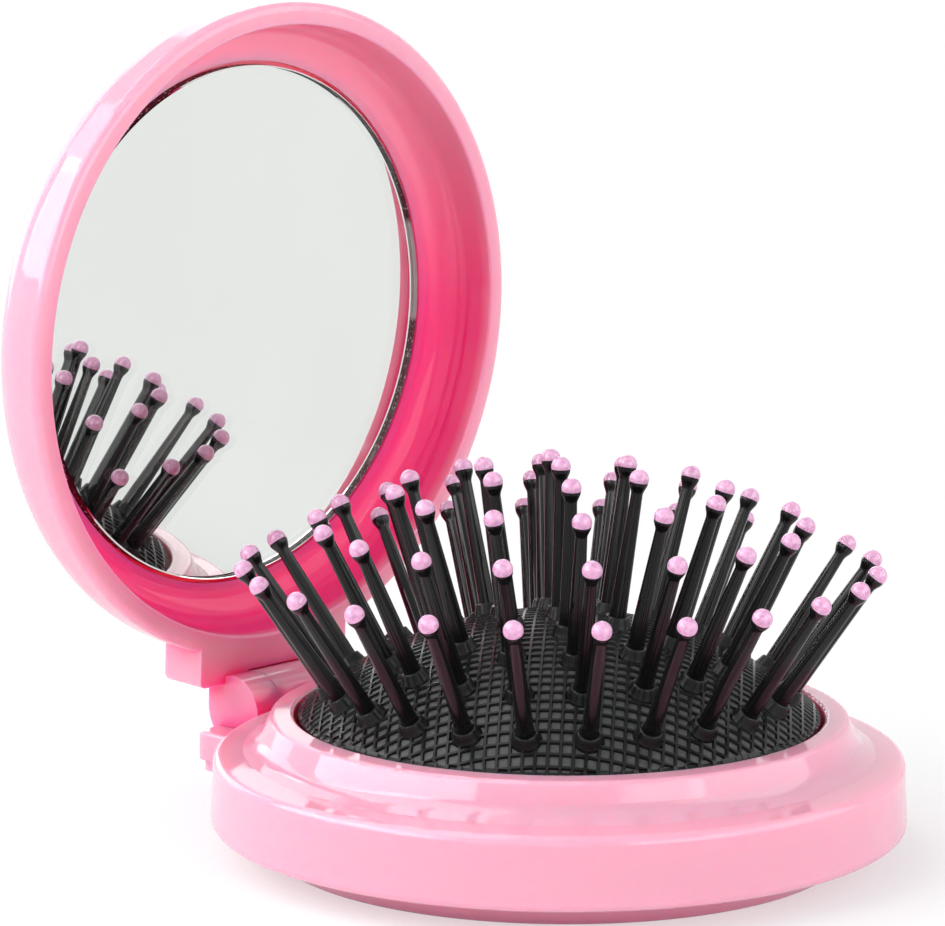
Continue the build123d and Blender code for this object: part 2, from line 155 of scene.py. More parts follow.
def makeAbs(name, look, isLid):
    material, tree = startMaterial(name)
    place = addNode(tree, "ShaderNodeTexCoord").outputs["Object"]
    clouds = addNode(tree, "ShaderNodeTexNoise", {
        "Scale": perSize(look["cloudSize"]), "Detail": 3.0, "Roughness": 0.5}, {"Vector": place})
    ripples = addNode(tree, "ShaderNodeTexNoise", {
        "Scale": perSize(look["rippleSize"]), "Detail": 1.0}, {"Vector": place})
    grain = addNode(tree, "ShaderNodeTexNoise", {
        "Scale": perSize(look["grainSize"]), "Detail": 2.0}, {"Vector": place})
    clouded = addNode(tree, "ShaderNodeMix", {
        "data_type": "RGBA", 6: toLinear(look["colour"]), 7: toLinear(look["cloudy"]),
    }, {0: clouds.outputs["Fac"]})
    # Painted shade and bounce light: an occlusion mask paints hollows, corners and creases a deeper, hotter
    # pink and turns the gloss down there
    sky = addNode(tree, "ShaderNodeAmbientOcclusion", {
        "samples": 6, "only_local": not isLid, "Distance": look["hollowReach"] * mm})
    closed = addNode(tree, "ShaderNodeMapRange", {
        "From Min": look["hollowFrom"], "From Max": look["hollowTo"], "To Max": look["hollowShare"],
    }, {"Value": sky.outputs["AO"]})
    hollow = closed.outputs[0]
    if isLid:
        hollow = lidPaintedShade(tree, place, hollow)
    else:
        # Painted bounce light: the colour turns a fuller pink toward the bottom of the case
        rise = addNode(tree, "ShaderNodeSeparateXYZ", None, {0: place})
        low = addNode(tree, "ShaderNodeMapRange", {
            "From Min": foot["paleAbove"] * mm, "From Max": foot["fullBelow"] * mm, "To Max": foot["share"],
        }, {"Value": rise.outputs["Z"]})
        hollow = addNode(tree, "ShaderNodeMath", {"operation": "MAXIMUM"}, {
            0: hollow, 1: low.outputs[0]}).outputs[0]
    colour = addNode(tree, "ShaderNodeMix", {"data_type": "RGBA", 7: toLinear(look["hollow"])}, {
        0: hollow, 6: clouded.outputs[2]})
    roughness = addNode(tree, "ShaderNodeMapRange", {
        "From Min": noise["low"], "From Max": noise["high"],
        "To Min": look["roughLow"], "To Max": look["roughHigh"],
    }, {"Value": clouds.outputs["Fac"]})
    wave = addNode(tree, "ShaderNodeBump", {"Distance": look["rippleHeight"] * mm}, {
        "Height": ripples.outputs["Fac"]})
    fine = addNode(tree, "ShaderNodeBump", {"Distance": look["grainHeight"] * mm}, {
        "Height": grain.outputs["Fac"], "Normal": wave.outputs["Normal"]})
    gloss = addNode(tree, "ShaderNodeMapRange", {
        "To Min": look["specular"], "To Max": look["hollowSpecular"]}, {"Value": hollow})
    shader = addNode(tree, "ShaderNodeBsdfPrincipled", {
        "IOR": look["ior"], "Subsurface Weight": look["scatter"],
        "Subsurface Scale": look["scatterReach"] * mm, "Subsurface Radius": look["scatterColours"],
    }, {
        "Base Color": colour.outputs[2], "Roughness": roughness.outputs[0],
        "Normal": fine.outputs["Normal"], "Specular IOR Level": gloss.outputs[0]})
    addNode(tree, "ShaderNodeOutputMaterial", None, {"Surface": shader.outputs["BSDF"]})
    return material


# Moulded black rubber: satin and near black, so collars, ribs and buttons show only soft highlights
blackRubber = {
    "colour": "#0D0E0F", "worn": "#18191A", "patchSize": 2.4, "grainSize": 0.12, "grainHeight": 0.003,
    "roughLow": 0.22, "roughHigh": 0.34, "ior": 1.52, "specular": 0.22,
}
# The same rubber in the cells between the ribs, where the mould is sparked: matt, and greyer partly from
# the sparked finish and partly as a painted sheen for light glancing off the cell floors
cellRubberSheen = {
    "colour": "#2A2B2C", "worn": "#4A4B4C", "patchSize": 0.8, "grainSize": 0.16, "grainHeight": 0.03,
    "roughLow": 0.35, "roughHigh": 0.55, "ior": 1.52, "specular": 0.5,
}
# Foam tape behind the mirror: off-white and dead matt, with open cells that look grainy
foamTape = {
    "colour": "#E4E0D6", "worn": "#CFCABD", "patchSize": 3, "grainSize": 0.4, "grainHeight": 0.05,
    "roughLow": 0.8, "roughHigh": 0.95, "ior": 1.45, "specular": 0.5,
}


# Rubber and foam: paler, rougher patches over a fine grain; wear on the black rubber and the foam, part of
# the painted sheen in the ribbed cells
def makeSoft(name, look):
    material, tree = startMaterial(name)
    place = addNode(tree, "ShaderNodeTexCoord").outputs["Object"]
    patches = addNode(tree, "ShaderNodeTexNoise", {
        "Scale": perSize(look["patchSize"]), "Detail": 5.0, "Roughness": 0.6}, {"Vector": place})
    grain = addNode(tree, "ShaderNodeTexNoise", {
        "Scale": perSize(look["grainSize"]), "Detail": 2.0}, {"Vector": place})
    wear = addNode(tree, "ShaderNodeMapRange", {
        "From Min": noise["low"], "From Max": noise["high"]}, {"Value": patches.outputs["Fac"]})
    colour = addNode(tree, "ShaderNodeMix", {
        "data_type": "RGBA", 6: toLinear(look["colour"]), 7: toLinear(look["worn"]),
    }, {0: wear.outputs[0]})
    roughness = addNode(tree, "ShaderNodeMapRange", {
        "To Min": look["roughLow"], "To Max": look["roughHigh"]}, {"Value": wear.outputs[0]})
    bump = addNode(tree, "ShaderNodeBump", {"Distance": look["grainHeight"] * mm}, {
        "Height": grain.outputs["Fac"]})
    shader = addNode(tree, "ShaderNodeBsdfPrincipled", {
        "IOR": look["ior"], "Specular IOR Level": look["specular"],
    }, {
        "Base Color": colour.outputs[2], "Roughness": roughness.outputs[0],
        "Normal": bump.outputs["Normal"]})
    addNode(tree, "ShaderNodeOutputMaterial", None, {"Surface": shader.outputs["BSDF"]})
    return material


# Moulded black nylon: smooth and waxy, so each stem carries thin bright lines along its length
blackNylon = {
    "colour": "#0B0B0C", "pale": "#100F11", "patchSize": 1.6, "dragSize": 0.3, "dragHeight": 0.0004,
    "dragStretch": 0.12, "roughLow": 0.13, "roughHigh": 0.2, "ior": 1.53, "specular": 0.32,
}


def makeNylon(name, look):
    material, tree = startMaterial(name)
    place = addNode(tree, "ShaderNodeTexCoord").outputs["Object"]
    stretched = addNode(tree, "ShaderNodeMapping", {"Scale": (1.0, 1.0, look["dragStretch"])}, {
        "Vector": place})
    patches = addNode(tree, "ShaderNodeTexNoise", {
        "Scale": perSize(look["patchSize"]), "Detail": 4.0}, {"Vector": place})
    drags = addNode(tree, "ShaderNodeTexNoise", {
        "Scale": perSize(look["dragSize"]), "Detail": 3.0}, {"Vector": stretched.outputs["Vector"]})
    colour = addNode(tree, "ShaderNodeMix", {
        "data_type": "RGBA", 6: toLinear(look["colour"]), 7: toLinear(look["pale"]),
    }, {0: drags.outputs["Fac"]})
    roughness = addNode(tree, "ShaderNodeMapRange", {
        "From Min": noise["low"], "From Max": noise["high"],
        "To Min": look["roughLow"], "To Max": look["roughHigh"],
    }, {"Value": patches.outputs["Fac"]})
    bump = addNode(tree, "ShaderNodeBump", {"Distance": look["dragHeight"] * mm}, {
        "Height": drags.outputs["Fac"]})
    shader = addNode(tree, "ShaderNodeBsdfPrincipled", {
        "IOR": look["ior"], "Specular IOR Level": look["specular"],
    }, {
        "Base Color": colour.outputs[2], "Roughness": roughness.outputs[0],
        "Normal": bump.outputs["Normal"]})
    addNode(tree, "ShaderNodeOutputMaterial", None, {"Surface": shader.outputs["BSDF"]})
    return material


# Dipped epoxy coat on the ball tips: a glossy lilac bead, mottled where the dip ran thin over the black
epoxyCoat = {
    "colour": "#DFA8CC", "thin": "#A65C90", "patchSize": 0.55, "thinFrom": 0.42, "thinTo": 0.75,
    "thinShare": 0.7, "rippleSize": 0.5, "rippleHeight": 0.012, "roughLow": 0.1, "roughHigh": 0.2,
    "ior": 1.5, "specular": 0.8, "scatter": 0.15, "scatterReach": 0.3,
}


def makeCoat(name, look):
    material, tree = startMaterial(name)
    place = addNode(tree, "ShaderNodeTexCoord").outputs["Object"]
    patches = addNode(tree, "ShaderNodeTexNoise", {
        "Scale": perSize(look["patchSize"]), "Detail": 4.0, "Roughness": 0.65}, {"Vector": place})
    ripples = addNode(tree, "ShaderNodeTexNoise", {
        "Scale": perSize(look["rippleSize"]), "Detail": 1.0}, {"Vector": place})
    thinness = addNode(tree, "ShaderNodeMapRange", {
        "From Min": look["thinFrom"], "From Max": look["thinTo"], "To Max": look["thinShare"],
    }, {"Value": patches.outputs["Fac"]})
    colour = addNode(tree, "ShaderNodeMix", {
        "data_type": "RGBA", 6: toLinear(look["colour"]), 7: toLinear(look["thin"]),
    }, {0: thinness.outputs[0]})
    roughness = addNode(tree, "ShaderNodeMapRange", {
        "To Min": look["roughLow"], "To Max": look["roughHigh"]}, {"Value": thinness.outputs[0]})
    bump = addNode(tree, "ShaderNodeBump", {"Distance": look["rippleHeight"] * mm}, {
        "Height": ripples.outputs["Fac"]})
    shader = addNode(tree, "ShaderNodeBsdfPrincipled", {
        "IOR": look["ior"], "Specular IOR Level": look["specular"],
        "Subsurface Weight": look["scatter"], "Subsurface Scale": look["scatterReach"] * mm,
    }, {
        "Base Color": colour.outputs[2], "Roughness": roughness.outputs[0],
        "Normal": bump.outputs["Normal"]})
    addNode(tree, "ShaderNodeOutputMaterial", None, {"Surface": shader.outputs["BSDF"]})
    return material


# Float glass: clear and perfectly flat, a breath of green in it and faint marks where it was wiped
floatGlass = {"colour": "#FDFFFE", "wiped": "#F8FCFA", "wipeSize": 9, "ior": 1.52, "roughness": 0.0}


def makeGlass(name, look):
    material, tree = startMaterial(name)
    place = addNode(tree, "ShaderNodeTexCoord").outputs["Object"]
    wipes = addNode(tree, "ShaderNodeTexNoise", {
        "Scale": perSize(look["wipeSize"]), "Detail": 6.0, "Roughness": 0.6}, {"Vector": place})
    colour = addNode(tree, "ShaderNodeMix", {
        "data_type": "RGBA", 6: toLinear(look["colour"]), 7: toLinear(look["wiped"]),
    }, {0: wipes.outputs["Fac"]})
    shader = addNode(tree, "ShaderNodeBsdfPrincipled", {
        "IOR": look["ior"], "Transmission Weight": 1.0, "Roughness": look["roughness"],
    }, {"Base Color": colour.outputs[2]})
    addNode(tree, "ShaderNodeOutputMaterial", None, {"Surface": shader.outputs["BSDF"]})
    return material


# Seamed edge of the glass: backing paint has run over the ground rim, which shows as a dark line with
# bright chips and one bare stretch
seamedEdge = {
    "colour": "#2B1722", "chip": "#E3DEE0", "chipSize": 0.35, "chipFrom": 0.6, "chipTo": 0.66,
    "stretchSize": 16, "stretchFrom": 0.6, "stretchTo": 0.63, "roughness": 0.45, "ior": 1.5,
}


def makeEdge(name, look):
    material, tree = startMaterial(name)
    place = addNode(tree, "ShaderNodeTexCoord").outputs["Object"]
    chips = addNode(tree, "ShaderNodeTexNoise", {
        "Scale": perSize(look["chipSize"]), "Detail": 3.0}, {"Vector": place})
    stretches = addNode(tree, "ShaderNodeTexNoise", {
        "Scale": perSize(look["stretchSize"]), "Detail": 1.0}, {"Vector": place})
    chipped = addNode(tree, "ShaderNodeMapRange", {
        "From Min": look["chipFrom"], "From Max": look["chipTo"]}, {"Value": chips.outputs["Fac"]})
    bare = addNode(tree, "ShaderNodeMapRange", {
        "From Min": look["stretchFrom"], "From Max": look["stretchTo"],
    }, {"Value": stretches.outputs["Fac"]})
    pale = addNode(tree, "ShaderNodeMath", {"operation": "MAXIMUM"}, {
        0: chipped.outputs[0], 1: bare.outputs[0]})
    colour = addNode(tree, "ShaderNodeMix", {
        "data_type": "RGBA", 6: toLinear(look["colour"]), 7: toLinear(look["chip"]),
    }, {0: pale.outputs[0]})
    shader = addNode(tree, "ShaderNodeBsdfPrincipled", {
        "IOR": look["ior"], "Roughness": look["roughness"]}, {"Base Color": colour.outputs[2]})
    addNode(tree, "ShaderNodeOutputMaterial", None, {"Surface": shader.outputs["BSDF"]})
    return material


# Silvering: chemically laid on the glass, so it mirrors sharply and only a touch greyer than the room
silvering = {
    "colour": "#ECECEA", "dull": "#E6E6E4", "patchSize": 20, "stretch": 1.0,
    "roughLow": 0.0, "roughHigh": 0.002,
}
# Drawn steel wire: a soft grey shine with fine lines along the pin
drawnWire = {
    "colour": "#B9B9B7", "dull": "#8C8C8A", "patchSize": 0.4, "stretch": 0.05,
    "roughLow": 0.25, "roughHigh": 0.4,
}


def makeMetal(name, look):
    material, tree = startMaterial(name)
    place = addNode(tree, "ShaderNodeTexCoord").outputs["Object"]
    stretched = addNode(tree, "ShaderNodeMapping", {"Scale": (1.0, look["stretch"], 1.0)}, {
        "Vector": place})
    patches = addNode(tree, "ShaderNodeTexNoise", {
        "Scale": perSize(look["patchSize"]), "Detail": 4.0}, {"Vector": stretched.outputs["Vector"]})
    colour = addNode(tree, "ShaderNodeMix", {
        "data_type": "RGBA", 6: toLinear(look["colour"]), 7: toLinear(look["dull"]),
    }, {0: patches.outputs["Fac"]})
    roughness = addNode(tree, "ShaderNodeMapRange", {
        "From Min": noise["low"], "From Max": noise["high"],
        "To Min": look["roughLow"], "To Max": look["roughHigh"],
    }, {"Value": patches.outputs["Fac"]})
    shader = addNode(tree, "ShaderNodeBsdfPrincipled", {"Metallic": 1.0}, {
        "Base Color": colour.outputs[2], "Roughness": roughness.outputs[0]})
    addNode(tree, "ShaderNodeOutputMaterial", None, {"Surface": shader.outputs["BSDF"]})
    return material


casePink = makeAbs("ABS, moulded, light pink", absPlastic, False)
lidPink = makeAbs("ABS, moulded, light pink, lid", lidPlastic, True)
rubberBlack = makeSoft("Black rubber, moulded", blackRubber)
# Painted sheen: the cell rubber is painted greyer to stand for light glancing off the cell floors
rubberCellSheen = makeSoft("Black rubber, sparked", cellRubberSheen)
nylonBlack = makeNylon("Nylon, moulded, black", blackNylon)
coatLilac = makeCoat("Epoxy, dipped, lilac", epoxyCoat)
mirrorGlass = makeGlass("Float glass", floatGlass)
mirrorSilver = makeMetal("Silvering", silvering)
mirrorEdge = makeEdge("Glass edge, seamed and painted", seamedEdge)
pinSteel = makeMetal("Steel wire, drawn", drawnWire)
tapeWhite = makeSoft("Foam tape", foamTape)

cadFinishes = {
    "front_case": casePink, "back_case": casePink, "lid_shell": lidPink,
    "mirror_backing": mirrorSilver, "mirror_adhesive": tapeWhite, "hinge_pin": pinSteel,
}
for nodeName, finish in cadFinishes.items():
    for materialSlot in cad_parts[nodeName].material_slots:
        materialSlot.material = finish
print("materials made:", len(bpy.data.materials))


# Turns an outline of (radius, height) pairs, given in millimetres from its first end to its last; a seam
# is a ridge of the given height along two opposite sides, as the two halves of a mould leave it
def turnOutline(mesh, outline, steps, matrix, seam=0.0):
    rings = []
    for radius, height in outline:
        if radius == 0:
            rings.append([mesh.verts.new(matrix @ Vector((0, 0, height * mm)))])
            continue
        ring = []
        for step in range(steps):
            angle = 2 * math.pi * step / steps
            swell = radius + (seam if step % (steps // 2) == 0 else 0)
            point = Vector((swell * math.cos(angle), swell * math.sin(angle), height)) * mm
            ring.append(mesh.verts.new(matrix @ point))
        rings.append(ring)
    for lower, upper in zip(rings, rings[1:]):
        for step in range(steps):
            after = (step + 1) % steps
            if len(lower) == 1:
                mesh.faces.new((lower[0], upper[after], upper[step]))
            elif len(upper) == 1:
                mesh.faces.new((lower[step], lower[after], upper[0]))
            else:
                mesh.faces.new((lower[step], lower[after], upper[after], upper[step]))


def finishPiece(mesh, name, material, sharpAngle=40):
    bmesh.ops.recalc_face_normals(mesh, faces=mesh.faces)
    data = bpy.data.meshes.new(name)
    mesh.to_mesh(data)
    mesh.free()
    data.shade_smooth()
    data.set_sharp_from_angle(angle=math.radians(sharpAngle))
    data.materials.append(material)
    piece = bpy.data.objects.new(name, data)
    bpy.context.scene.collection.objects.link(piece)
    return piece


# Points on an arc in the (radius, height) plane
def arc(centre, radius, startAngle, endAngle, steps):
    points = []
    for step in range(steps + 1):
        angle = math.radians(startAngle + (endAngle - startAngle) * step / steps)
        points.append((centre[0] + radius * math.cos(angle), centre[1] + radius * math.sin(angle)))
    return points


# The cushion's dome and the rings of bristles on it, as in the CAD source
dome = {
    "sleeveRadius": 24.95, "rise": 9.4, "top": 22.4, "wall": 1.1, "ringReach": 21.68, "patternTurn": 18.6,
    "rings": 4, "perRing": 6,
}
dome["radius"] = (dome["sleeveRadius"] ** 2 + dome["rise"] ** 2) / (2 * dome["rise"])
dome["centre"] = dome["top"] - dome["radius"]
dome["ringStep"] = math.asin(dome["ringReach"] / dome["radius"]) / dome["rings"]
perGroup = {0: 1, 1: 1, 2: 2, 3: 2, 4: 2}  # bristles that move as one, by ring


# Node name and the places of its bristles, ring by ring
def bristleGroups():
    groups = {}
    for ring in range(dome["rings"] + 1):
        count = max(1, dome["perRing"] * ring)
        for place in range(count):
            turn = math.radians(dome["patternTurn"]) + 2 * math.pi * place / count
            name = "bristle_middle"
            if ring:
                name = f"bristles_ring{ring}_{place // perGroup[ring] + 1:02d}"
            matrix = (Matrix.Translation((0, 0, dome["centre"] * mm))
                      @ Matrix.Rotation(turn, 4, "Z")
                      @ Matrix.Rotation(ring * dome["ringStep"], 4, "Y")
                      @ Matrix.Translation((0, 0, dome["radius"] * mm)))
            groups.setdefault(name, []).append(matrix)
    return groups


# A tapering stem with a flared cup, and a bead of coat on the ball
stem = {
    "rootRadius": 0.84, "neckRadius": 0.56, "length": 14.6, "neckHeight": 13.15, "cupRadius": 0.9,
    "cupHeight": 14.3, "cupBevel": 0.05, "cupEdge": 0.06, "from": 0.3, "lengthSteps": 6, "flareSteps": 7,
    "sideSteps": 36, "seam": 0.035, "seamTurn": 137.5,
}
bead = {"radius": 0.94, "overCup": 0.22, "lip": 0.05, "lipHeight": 0.02, "arcSteps": 9, "sideSteps": 24}


def stemOutline():
    outline = [(0, stem["from"]), (stem["rootRadius"], stem["from"])]
    for step in range(1, stem["lengthSteps"] + 1):
        share = step / stem["lengthSteps"]
        height = stem["from"] + (stem["neckHeight"] - stem["from"]) * share
        outline.append((stem["rootRadius"] + (stem["neckRadius"] - stem["rootRadius"]) * share, height))
    for step in range(1, stem["flareSteps"] + 1):  # the cup opens like the foot of an egg cup
        share = step / stem["flareSteps"]
        height = stem["neckHeight"] + (stem["cupHeight"] - stem["neckHeight"]) * share
        swell = (stem["cupRadius"] - stem["neckRadius"]) * math.sin(share * math.pi / 2) ** 2
        outline.append((stem["neckRadius"] + swell, height))
    top = stem["cupHeight"] + stem["cupEdge"]
    return outline + [(stem["cupRadius"] - stem["cupBevel"], top), (0, top)]


def beadOutline():
    base = math.degrees(math.asin(-bead["overCup"] / bead["radius"]))
    curve = arc((0, stem["length"]), bead["radius"], base, 90, bead["arcSteps"])
    rim, lower = curve[0][0] - bead["lip"], curve[0][1] - bead["lipHeight"]
    return [(0, lower), (rim, lower)] + curve[:-1] + [(0, stem["length"] + bead["radius"])]


# The rubber collar in front of each bristle and the round button behind it
boot = {
    "collar": [(0.7, -0.3), (1.55, -0.3), (1.49, 0.1), (1.4, 0.26), (1.31, 0.53), (1.22, 0.8),
               (1.14, 1.07), (1.1, 1.16), (1.03, 1.21), (0.95, 1.19), (0.86, 1.14), (0.7, 1.14)],
    "buttonRadius": 1.62, "buttonDepth": 0.95, "buttonSunk": 0.35, "buttonSteps": 8, "grooveRadius": 1.95,
    "sideSteps": 28,
}


def collarOutline():
    return boot["collar"] + [boot["collar"][0]]


# A shallow dome under the rubber, its rim just inside the rubber's own back face
def buttonOutline():
    back = -dome["wall"]
    depth, reach = boot["buttonDepth"], boot["buttonRadius"]
    ball = (reach ** 2 + depth ** 2) / (2 * depth)
    rimAngle = math.degrees(math.asin((ball - depth) / ball))
    curve = arc((0, back + ball - depth), ball, -90, -rimAngle, boot["buttonSteps"])
    sunk = back + boot["buttonSunk"]
    return [(0, curve[0][1])] + curve[1:] + [(reach, sunk), (0, sunk)]


groups = bristleGroups()
placed = 0
for nodeName, matrices in groups.items():
    made = {}
    for kind in ("stem", "bead", "boot"):
        made[kind] = bmesh.new()
    for matrix in matrices:
        placed += 1
        turned = matrix @ Matrix.Rotation(math.radians(stem["seamTurn"] * placed), 4, "Z")
        turnOutline(made["stem"], stemOutline(), stem["sideSteps"], turned, stem["seam"])
        turnOutline(made["bead"], beadOutline(), bead["sideSteps"], matrix)
        turnOutline(made["boot"], collarOutline(), boot["sideSteps"], matrix)
        turnOutline(made["boot"], buttonOutline(), boot["sideSteps"], matrix)
    short = nodeName.replace("bristles_", "").replace("bristle_", "")
    stemPiece = finishPiece(made["stem"], f"stem_{short}", nylonBlack)
    beadPiece = finishPiece(made["bead"], f"bead_{short}", coatLilac)
    bootPiece = finishPiece(made["boot"], f"boot_{short}", rubberBlack)
    for piece in (stemPiece, beadPiece, bootPiece):
        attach(piece, nodeName)
    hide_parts(nodeName)
print("bristles made:", sum(len(m) for m in groups.values()), "in", len(groups), "groups")


# Glass plate with a small bevel. Faces that point backward this squarely are silvered, those that point
# forward at all are clear, and the rest is the seamed edge
plate = {
    "radius": 26.1, "thickness": 1.08, "bevel": 0.13, "arris": 0.06, "faceHeight": 15.86, "sideSteps": 160,
    "backward": 0.99, "forward": 0.2,
}

glassMesh = bmesh.new()
face, backHeight = plate["faceHeight"], plate["faceHeight"] + plate["thickness"]
edge, bevel, arris = plate["radius"], plate["bevel"], plate["arris"]
turnOutline(glassMesh, [
    (0, face), (edge - bevel, face), (edge, face + bevel), (edge, backHeight - arris),
    (edge - arris, backHeight), (0, backHeight),
], plate["sideSteps"], lidPlace())
glassPlate = finishPiece(glassMesh, "mirror_plate", mirrorGlass, sharpAngle=20)
glassPlate.data.materials.append(mirrorSilver)
glassPlate.data.materials.append(mirrorEdge)
backward = lidPlace().to_3x3() @ Vector((0, 0, 1))
for polygon in glassPlate.data.polygons:
    towardBack = polygon.normal.dot(backward)
    if towardBack > plate["backward"]:
        polygon.material_index = 1
    elif towardBack > -plate["forward"]:
        polygon.material_index = 2
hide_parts("mirror_glass")
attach(glassPlate, "mirror_lid")
print("mirror plate made")


# Ribs on the cushion's front face, square to each other
ribs = {
    "pitch": 1.15, "turn": 39.0, "top": 0.2, "flank": 0.08, "height": 0.24, "reach": 24.55,
    "edgeRadius": 24.9, "sheet": 0.5, "foot": 7.5, "underside": (24.3, 20.0, 14.0, 7.0),
}
# Points a little beyond the edge are drawn in to it, and closer ones than the weld become one
grid = {"beyond": 1.2, "margin": 1.3, "weld": 0.002, "flatBelow": 0.01}


def domeHeight(radius, reach):
    return dome["centre"] + math.sqrt(radius ** 2 - reach ** 2)


# Closes a face of the dome into a thin sheet: its round edge goes down the sleeve and back under it
def closeSheet(mesh, edge, rings, innerRadius):
    before = edge
    for radius, height in rings:
        ring = []
        for vertex in edge:
            angle = math.atan2(vertex.co.y, vertex.co.x)
            point = Vector((radius * math.cos(angle), radius * math.sin(angle), height)) * mm
            ring.append(mesh.verts.new(point))
        for place in range(len(edge)):
            after = (place + 1) % len(edge)
            mesh.faces.new((before[place], before[after], ring[after], ring[place]))
        before = ring
    centre = mesh.verts.new((0, 0, domeHeight(innerRadius, 0) * mm))
    for place in range(len(edge)):
        mesh.faces.new((before[place], before[(place + 1) % len(edge)], centre))


# Grid of points over the dome; height is added along the dome's own normal
def domeGrid(mesh, lines, reach, radius, turn, addedHeight, markFlat=False):
    cosTurn, sinTurn = math.cos(math.radians(turn)), math.sin(math.radians(turn))
    middle = Vector((0, 0, dome["centre"]))
    corners = {}
    for column, u in enumerate(lines):
        for row, v in enumerate(lines):
            x, y = u * cosTurn - v * sinTurn, u * sinTurn + v * cosTurn
            distance = math.hypot(x, y)
            outside = distance > reach
            if distance > reach + grid["beyond"]:
                continue
            if outside:
                x, y = x * reach / distance, y * reach / distance
            out = Vector((x, y, domeHeight(radius, math.hypot(x, y)) - dome["centre"])).normalized()
            vertex = mesh.verts.new((out * (radius + addedHeight(u, v, x, y)) + middle) * mm)
            corners[column, row] = (vertex, outside)
    for column, row in corners:
        square = [corners.get(key) for key in (
            (column, row), (column + 1, row), (column + 1, row + 1), (column, row + 1))]
        if None in square or all(found[1] for found in square):
            continue
        cell = mesh.faces.new([found[0] for found in square])
        highest = max((found[0].co / mm - middle).length - radius for found in square)
        cell.material_index = 1 if markFlat and highest < grid["flatBelow"] else 0
    loose = [v for v in mesh.verts if not v.link_faces]
    bmesh.ops.delete(mesh, geom=loose, context="VERTS")
    bmesh.ops.remove_doubles(mesh, verts=mesh.verts, dist=grid["weld"] * mm)
    edge = list({v for e in mesh.edges if e.is_boundary for v in e.verts})
    edge.sort(key=lambda v: math.atan2(v.co.y, v.co.x))
    return edge


def ribLines():
    half, flank = ribs["top"] / 2, ribs["flank"]
    count = math.ceil((ribs["reach"] + grid["margin"]) / ribs["pitch"])
    lines = []
    for place in range(-count, count + 1):
        middle = place * ribs["pitch"]
        lines += [middle - half - flank, middle - half, middle + half, middle + half + flank]
    return lines


def ribShare(place):
    offset = abs(place - round(place / ribs["pitch"]) * ribs["pitch"])
    return 1.0 if offset < ribs["top"] / 2 + ribs["flank"] / 2 else 0.0


def ribHeight(u, v, x, y):
    return ribs["height"] * max(ribShare(u), ribShare(v))


faceMesh = bmesh.new()
faceEdge = domeGrid(faceMesh, ribLines(), ribs["reach"], dome["radius"], ribs["turn"], ribHeight, True)
innerFace = dome["radius"] - ribs["sheet"]
faceRings = [
    (ribs["edgeRadius"], domeHeight(dome["radius"], ribs["edgeRadius"])),
    (ribs["edgeRadius"], ribs["foot"]),
    (ribs["edgeRadius"] - ribs["sheet"], ribs["foot"]),
]
for reach in ribs["underside"]:
    faceRings.append((reach, domeHeight(innerFace, reach)))
closeSheet(faceMesh, faceEdge, faceRings, innerFace)
rubberFace = finishPiece(faceMesh, "rubber_face", rubberBlack, sharpAngle=30)
rubberFace.data.materials.append(rubberCellSheen)
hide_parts("cushion_pad")
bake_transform(rubberFace)
print("ribbed face:", len(rubberFace.data.polygons), "faces")

# The smooth back face with its grooves; the bristles' places are kept in square cells to find them fast
backFace = {
    "gridStep": 0.26, "reach": 23.7, "edgeReach": 23.85, "foot": 6.0, "underside": (24.25, 20.0, 14.0, 7.0),
    "gap": 0.04, "sleeveGap": 0.06, "cellSize": 4, "grooveDepth": 0.28, "grooveWidth": 0.22,
    "grooveShift": 0.12,
}
rootCells = {}
for matrices in groups.values():
    for matrix in matrices:
        spot = matrix @ Vector((0, 0, -dome["wall"] * mm)) / mm
        cell = round(spot.x / backFace["cellSize"]), round(spot.y / backFace["cellSize"])
        rootCells.setdefault(cell, []).append(spot)


# Ring groove round each button on the back
def grooveHeight(u, v, x, y):
    radius = dome["radius"] - dome["wall"]
    height = domeHeight(radius, math.hypot(x, y))
    depth = 0.0
    column, row = round(x / backFace["cellSize"]), round(y / backFace["cellSize"])
    for stepX in (-1, 0, 1):
        for stepY in (-1, 0, 1):
            for spot in rootCells.get((column + stepX, row + stepY), ()):
                away = math.dist((x, y, height), spot)
                share = (away - boot["grooveRadius"] + backFace["grooveShift"]) / backFace["grooveWidth"]
                depth = max(depth, backFace["grooveDepth"] * math.exp(-share ** 2))
    return depth


backMesh = bmesh.new()
steps = math.ceil((backFace["reach"] + grid["margin"]) / backFace["gridStep"])
evenLines = [place * backFace["gridStep"] for place in range(-steps, steps + 1)]
backRadius, sleeve = dome["radius"] - dome["wall"], dome["sleeveRadius"]
backEdge = domeGrid(backMesh, evenLines, backFace["reach"], backRadius, 0, grooveHeight)
lowerFace = dome["radius"] - ribs["sheet"] - backFace["gap"]
backRings = [
    (sleeve - dome["wall"], domeHeight(backRadius, backFace["edgeReach"])),
    (sleeve - dome["wall"], backFace["foot"]),
    (sleeve - ribs["sheet"] - backFace["sleeveGap"], backFace["foot"]),
]
for reach in backFace["underside"]:
    backRings.append((reach, domeHeight(lowerFace, reach)))
closeSheet(backMesh, backEdge, backRings, lowerFace)
rubberBack = finishPiece(backMesh, "rubber_back", rubberBlack, sharpAngle=60)
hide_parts("cushion_pad")
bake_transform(rubberBack)
print("back face:", len(rubberBack.data.polygons), "faces")


